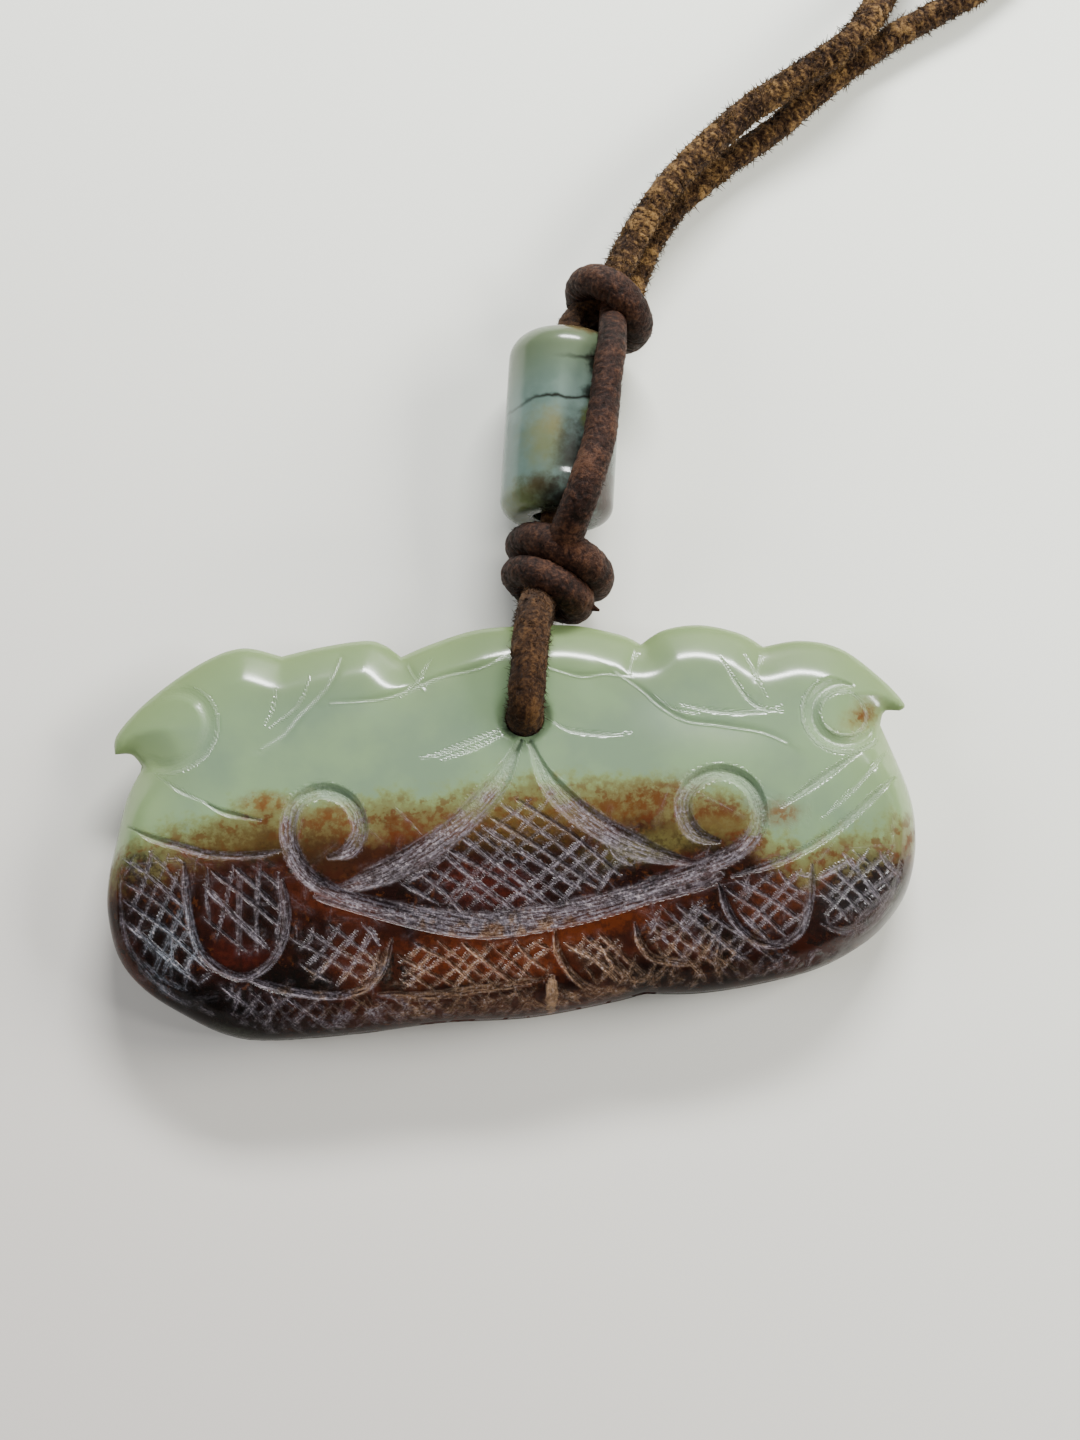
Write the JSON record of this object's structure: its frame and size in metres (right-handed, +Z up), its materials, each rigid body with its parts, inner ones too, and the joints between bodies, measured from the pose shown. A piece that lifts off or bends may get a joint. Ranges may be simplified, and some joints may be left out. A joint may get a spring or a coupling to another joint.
{
  "type": "carved jade pendant on a leather thong",
  "caption": "Carved two-coloured jade pendant plaque on a doubled leather thong with a drilled jade bead held between two knots.",
  "frame": {"origin": "middle of the pendant's outline, on the surface that its back lies on", "axes": "+X along the pendant to its right end, +Y from the pendant towards the bead and the neck cord, +Z up out of its carved front"},
  "size_m": [0.0802, 0.1271, 0.0107],
  "materials": {
    "jade": "polished nephrite jade, pale celadon green above and dark red-brown skin below, with frosted carving",
    "bead_jade": "polished bluish green jade with dark veins and a brown foot",
    "leather": "round suede thong, fuzzy and golden brown, worn smooth and dark at the knots"
  },
  "bodies": {
    "root": {"pendant": "jade", "bead": "bead_jade", "lower_knot": "leather", "upper_knot": "leather", "end_knot": "leather", "loop_strand": "leather", "bore_strand": "leather", "side_strand": "leather", "neck_strand_upper": "leather", "neck_strand_lower": "leather", "cord_coil": "leather"}
  },
  "joints": []
}
